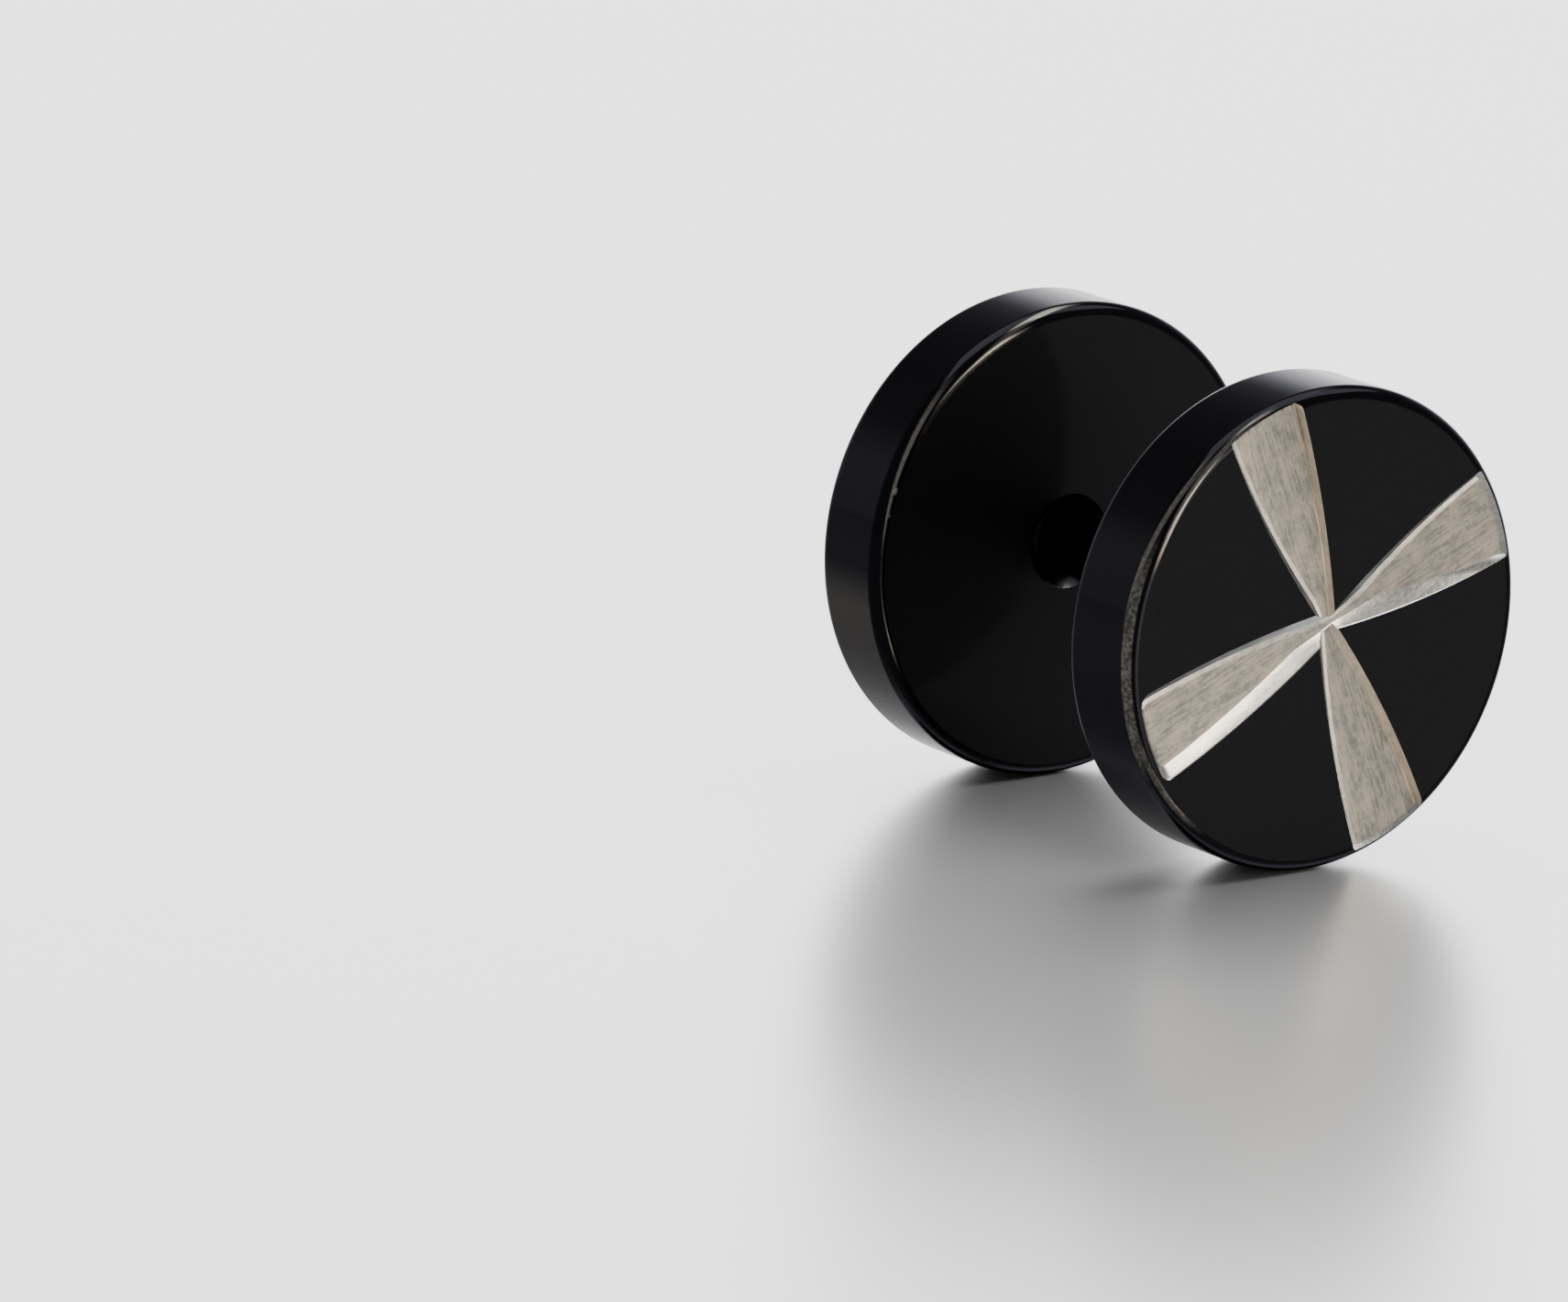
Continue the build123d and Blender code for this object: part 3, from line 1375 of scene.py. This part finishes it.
@dataclass(frozen=True)
class Softbox:
    """Square area light that faces the earring.

    Attributes:
        name: Name of the light.
        azimuth: Direction round the earring in degrees, 0 in front and 90 at its right.
        elevation: Height above the horizon in degrees.
        distance: Distance in millimetres.
        size: Side in millimetres.
        power: Power in watts.
        colour: Colour.
    """

    name: str
    azimuth: float
    elevation: float
    distance: float
    size: float
    power: float
    colour: Colour = (1.0, 1.0, 1.0)

    def build(self, target: Vector) -> bpy.types.Object:
        """Hangs the light.

        Args:
            target: Point that it faces, in metres.

        Returns:
            The light.
        """
        lamp = bpy.data.lights.new(self.name, "AREA")
        lamp.size = self.size * MM
        lamp.energy = self.power
        lamp.color = self.colour
        made = bpy.data.objects.new(self.name, lamp)
        away = direction(self.azimuth, self.elevation)
        made.location = target + away * self.distance * MM
        made.rotation_euler = away.to_track_quat("Z", "Y").to_euler()
        bpy.context.scene.collection.objects.link(made)
        return made


@dataclass(frozen=True)
class Viewpoint:
    """Camera of the photograph.

    Attributes:
        azimuth: Direction from the earring in degrees, 0 in front and negative at its left.
        elevation: Height above the horizon in degrees.
        roll: Lean of the camera to the left in degrees.
        distance: Distance from the aim in millimetres.
        aim: Point in the middle of the picture, in millimetres.
        lens: Focal length in millimetres.
        sensor: Width of the sensor in millimetres.
    """

    azimuth: float = -36.964
    elevation: float = 14.531
    roll: float = 2.301
    distance: float = 215.912
    aim: tuple[float, float, float] = (-8.756, 1.202, 4.193)
    lens: float = 247.56
    sensor: float = 36.0

    def build(self) -> bpy.types.Object:
        """Places the camera and makes it the scene's.

        Returns:
            The camera.
        """
        data = bpy.data.cameras.new("viewpoint")
        data.lens = self.lens
        data.sensor_width = self.sensor
        data.clip_start = MM
        made = bpy.data.objects.new("viewpoint", data)
        away = direction(self.azimuth, self.elevation)
        turn = Matrix.Rotation(math.radians(self.azimuth), 4, "Z")
        tip = Matrix.Rotation(math.radians(90 - self.elevation), 4, "X")
        lean = Matrix.Rotation(math.radians(self.roll), 4, "Z")
        eye = (Vector(self.aim) + away * self.distance) * MM
        made.matrix_world = Matrix.Translation(eye) @ turn @ tip @ lean
        bpy.context.scene.collection.objects.link(made)
        bpy.context.scene.camera = made
        return made


@dataclass(frozen=True)
class Surround:
    """Surroundings with one bright side.

    Attributes:
        bright_side: Colour at each height, from straight down at 0 to straight up at 1.
        dim_side: The same away from the bright side.
        bright_azimuth: Middle of the bright side in degrees, 0 in front and 90 at the right.
        bright_start: Cosine of the angle from that middle at which the brightness starts.
        bright_full: Cosine of the angle at which it is full.
    """

    bright_side: dict[float, Colour]
    dim_side: dict[float, Colour]
    bright_azimuth: float
    bright_start: float
    bright_full: float

    def build(self) -> bpy.types.World:
        """Lights the surroundings.

        Returns:
            The world.
        """
        world = bpy.data.worlds.new("surround")
        bpy.context.scene.world = world
        tree = Tree(world)
        way = tree.add("ShaderNodeTexCoord", output="Generated")
        height = tree.vector("DOT_PRODUCT", way, (0, 0, 1)) * 0.5 + 0.5
        side = tree.vector("DOT_PRODUCT", way, tuple(direction(self.bright_azimuth, 0)))
        dim, bright = [
            tree.add("ShaderNodeValToRGB", {"stops": stops}, {0: height})
            for stops in (self.dim_side, self.bright_side)
        ]
        share = side.step(self.bright_start, self.bright_full)
        glow = tree.add("ShaderNodeBackground", None, {"Color": tree.blend(share, dim, bright)})
        tree.add("ShaderNodeOutputWorld", None, {"Surface": glow})
        return world


@dataclass
class Studio:
    """Pale floor, soft lights, their surroundings and the camera.

    Attributes:
        floor_size: Side of the floor in metres.
        finish: Finish of the floor.
        softboxes: The lights.
        surround: The surroundings.
        viewpoint: The camera.
    """

    floor_size: float
    finish: PaleFloor
    softboxes: tuple[Softbox, ...]
    surround: Surround
    viewpoint: Viewpoint

    def build(self, target: Vector) -> bpy.types.Object:
        """Sets up the studio.

        Args:
            target: Point that the lights face, in metres.

        Returns:
            The floor.
        """
        mesh = bmesh.new()
        bmesh.ops.create_grid(mesh, x_segments=1, y_segments=1, size=self.floor_size / 2)
        floor = as_object(mesh, "pale_floor", [self.finish.material()])
        for softbox in self.softboxes:
            softbox.build(target)
        self.surround.build()
        self.viewpoint.build()
        return floor


# The sides' slots paint light and shade onto the arms: warm painted highlights on two sides,
# darker outer strips of painted shade and lighter strips of painted light
CROSS_CUTS = (
    Cut(
        turn=23,
        waist_sink=0.60,
        ends=0.957,
        ahead=(
            LongEdge(waist=0.029, swell=0.178, slope=0.120, taper=0.95, sag=0.5),
            LongEdge(waist=0.019, swell=0.199, slope=0.070, taper=0.45, outer=Slot.PAINTED_SHADE_SLOPE,
                     inner=Slot.PAINTED_LIGHT_SLOPE),
        ),
        behind=(
            LongEdge(waist=0.058, swell=0.141, slope=0.060, taper=0.25, outer=Slot.PAINTED_SHADE_SLOPE,
                     inner=Slot.PAINTED_LIGHT_SLOPE, corner=0.3),
            LongEdge(waist=0.057, swell=0.150, slope=0.085, taper=0.30, sag=0.5, corner=0.25),
        ),
    ),
    Cut(
        turn=113,
        waist_sink=0.45,
        ends=0.984,
        ahead=(
            LongEdge(waist=0.042, swell=0.150, slope=0.030, taper=0.20, outer=Slot.PAINTED_HIGHLIGHT_SLOPE,
                     inner=Slot.PAINTED_HIGHLIGHT_SLOPE, corner=0.3),
            LongEdge(waist=0.020, swell=0.174, slope=0.045, taper=0.25, outer=Slot.PAINTED_SHADE_SLOPE,
                     inner=Slot.PAINTED_LIGHT_SLOPE),
        ),
        behind=(
            LongEdge(waist=0.050, swell=0.145, slope=0.040, taper=0.25, outer=Slot.PAINTED_LIGHT_SLOPE,
                     inner=Slot.PAINTED_LIGHT_SLOPE),
            LongEdge(waist=0.031, swell=0.164, slope=0.040, taper=0.25, outer=Slot.PAINTED_HIGHLIGHT_SLOPE,
                     inner=Slot.PAINTED_HIGHLIGHT_SLOPE, corner=0.15),
        ),
    ),
)

ARM_FINISHES = (
    BareSteel(
        name="arm_floor", cool=(0.200, 0.190, 0.160), warm=(0.190, 0.158, 0.120), stain=0.7,
        contrast=0.75, roughness=0.36, grain=0.005,
    ),
    BareSteel(
        name="arm_side", cool=(0.34, 0.335, 0.31), warm=(0.33, 0.29, 0.235), stain=0.6,
        contrast=0.45, roughness=0.20, grain=0.0012,
    ),
    # Warm lighter copy of the side steel: a painted highlight
    BareSteel(
        name="painted_highlight_arm_side", cool=(0.42, 0.36, 0.27), warm=(0.40, 0.31, 0.21), stain=0.6,
        contrast=0.4, roughness=0.30, grain=0.0025,
    ),
    # Darker copy of the side steel: painted shade
    BareSteel(
        name="painted_shade_arm_side", cool=(0.10, 0.105, 0.11), warm=(0.09, 0.087, 0.080), stain=0.6,
        contrast=0.5, roughness=0.30, grain=0.0025,
    ),
    # Lighter copy of the side steel: painted light
    BareSteel(
        name="painted_light_arm_side", cool=(0.25, 0.242, 0.215), warm=(0.24, 0.21, 0.17), stain=0.6,
        contrast=0.5, roughness=0.28, grain=0.0020,
    ),
)

SURROUND = Surround(
    bright_side={
        0.0: (0.60, 0.60, 0.60),
        0.50: (4.1, 4.1, 4.1),
        0.645: (4.0, 4.0, 4.0),
        0.73: (1.1, 1.1, 1.12),
        0.82: (0.55, 0.55, 0.57),
        1.0: (0.50, 0.50, 0.51),
    },
    dim_side={
        0.0: (0.60, 0.60, 0.60),
        0.50: (0.62, 0.62, 0.65),
        0.72: (0.62, 0.62, 0.66),
        0.84: (0.50, 0.50, 0.52),
        1.0: (0.50, 0.50, 0.51),
    },
    bright_azimuth=152,
    bright_start=0.02,
    bright_full=0.8,
)

SOFTBOXES = (
    Softbox("overhead", azimuth=150, elevation=78, distance=220, size=220, power=1.0),
    Softbox("right_top", azimuth=67, elevation=50, distance=240, size=120, power=0.32),
    Softbox("front_warm", azimuth=18, elevation=12, distance=250, size=90, power=0.30,
            colour=(1.0, 0.94, 0.84)),
)

# Painted highlights along the front disc's forward edge, where the lamps reflect on the rounding,
# speckled with wear
FRONT_SHEEN_AND_WEAR = (
    SheenAndWearBand(around=(65, 28), across=(42, 78), width=12, share=0.40, even=0.8),
    SheenAndWearBand(around=(47, 15), across=(36, 10), width=14, share=0.50, even=0.7),
    SheenAndWearBand(around=(24, -24), across=(27, 33), width=42, share=0.42, even=0.35),
    SheenAndWearBand(around=(-16, -46), across=(46, 74), width=16, share=0.30, even=0.45),
)

# Painted highlights along the back disc's forward edge, where the lamps reflect on the rounding,
# speckled with wear
BACK_SHEEN_AND_WEAR = (
    SheenAndWearBand(around=(86, 62), across=(24, 70), width=14, share=0.25, even=0.9),
    SheenAndWearBand(around=(68, 28), across=(84, 86), width=12, share=0.50, even=0.8),
    SheenAndWearBand(around=(45, 3), across=(44, 80), width=12, share=0.50, even=0.75),
    SheenAndWearBand(around=(8, -26), across=(79, 82), width=12, share=0.22, even=0.6),
    SheenAndWearBand(around=(20, 18), across=(76, 76), width=10, share=1.0, even=1.0, end_fade=0.5),
    SheenAndWearBand(around=(13.4, 12.2), across=(76, 76), width=8, share=0.8, even=1.0, end_fade=0.5),
    # The last two paint a sheen over the rim's lower left: a painted reflection of the pale
    # surroundings
    SheenAndWearBand(around=(-7, -70), across=(-45, -45), width=84, share=0.10, even=0.9, end_fade=7.0),
    SheenAndWearBand(around=(-36, -72), across=(-45, -45), width=84, share=0.26, even=0.9, end_fade=18.0),
)


@dataclass
class Earring:
    """The whole earring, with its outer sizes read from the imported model.

    Attributes:
        seat_radius: Radius of the recess that holds the post in the front disc.
        seat_depth: Its depth.
        seat_mouth: Width of the bevel at its mouth.
        hole_radius: Radius of the threaded hole in the back disc.
        hole_depth: Its depth.
        hole_mouth: Width of its countersink.
    """

    seat_radius: float = 0.72
    seat_depth: float = 1.2
    seat_mouth: float = 0.03
    hole_radius: float = 0.74
    hole_depth: float = 1.5
    hole_mouth: float = 0.26

    def front(self) -> FrontDisc:
        """Measures the front disc."""
        low, high = (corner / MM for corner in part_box("front_disc"))
        radius = (high.x - low.x) / 2
        return FrontDisc(
            name="milled_front_disc", facing=Facing.FRONT, outer=low.y,
            thickness=high.y - low.y, radius=radius, recess_radius=self.seat_radius,
            recess_depth=self.seat_depth, mouth=self.seat_mouth, bands=FRONT_SHEEN_AND_WEAR,
            cross=MilledCross(radius=radius, cuts=CROSS_CUTS), arm_finishes=ARM_FINISHES,
        )

    def back(self) -> BackDisc:
        """Measures the back disc."""
        low, high = (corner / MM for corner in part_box("back_disc"))
        return BackDisc(
            name="turned_back_disc", facing=Facing.BACK, outer=high.y,
            thickness=high.y - low.y, radius=(high.x - low.x) / 2,
            recess_radius=self.hole_radius, recess_depth=self.hole_depth,
            mouth=self.hole_mouth, bands=BACK_SHEEN_AND_WEAR,
        )

    def post(self) -> Post:
        """Measures the post."""
        low, high = (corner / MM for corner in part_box("post"))
        return Post(
            name="threaded_post", tip=high.y, length=high.y - low.y,
            radius=(high.x - low.x) / 2, height=(high.z + low.z) / 2,
        )


def declare(piece: bpy.types.Object, node: str, body: str) -> None:
    """Lets a piece stand for a CAD node and ride on its body.

    Args:
        piece: The finished piece.
        node: CAD node that it stands for.
        body: Body that it rides on.
    """
    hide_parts(node)
    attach(piece, body)
    log.info("%s stands for %s: %d faces", piece.name, node, len(piece.data.polygons))


def main() -> None:
    logging.basicConfig(level=logging.INFO, format="%(name)s: %(message)s")
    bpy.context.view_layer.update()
    earring = Earring()
    front = earring.front()
    declare(front.build(), "front_disc", "front")
    declare(earring.back().build(), "back_disc", "back")
    declare(earring.post().build(), "post", "front")
    studio = Studio(
        floor_size=6.0, finish=PaleFloor(), softboxes=SOFTBOXES, surround=SURROUND,
        viewpoint=Viewpoint(),
    )
    studio.build(Vector((0, 0, front.radius * MM)))


if __name__ == "__main__":
    main()
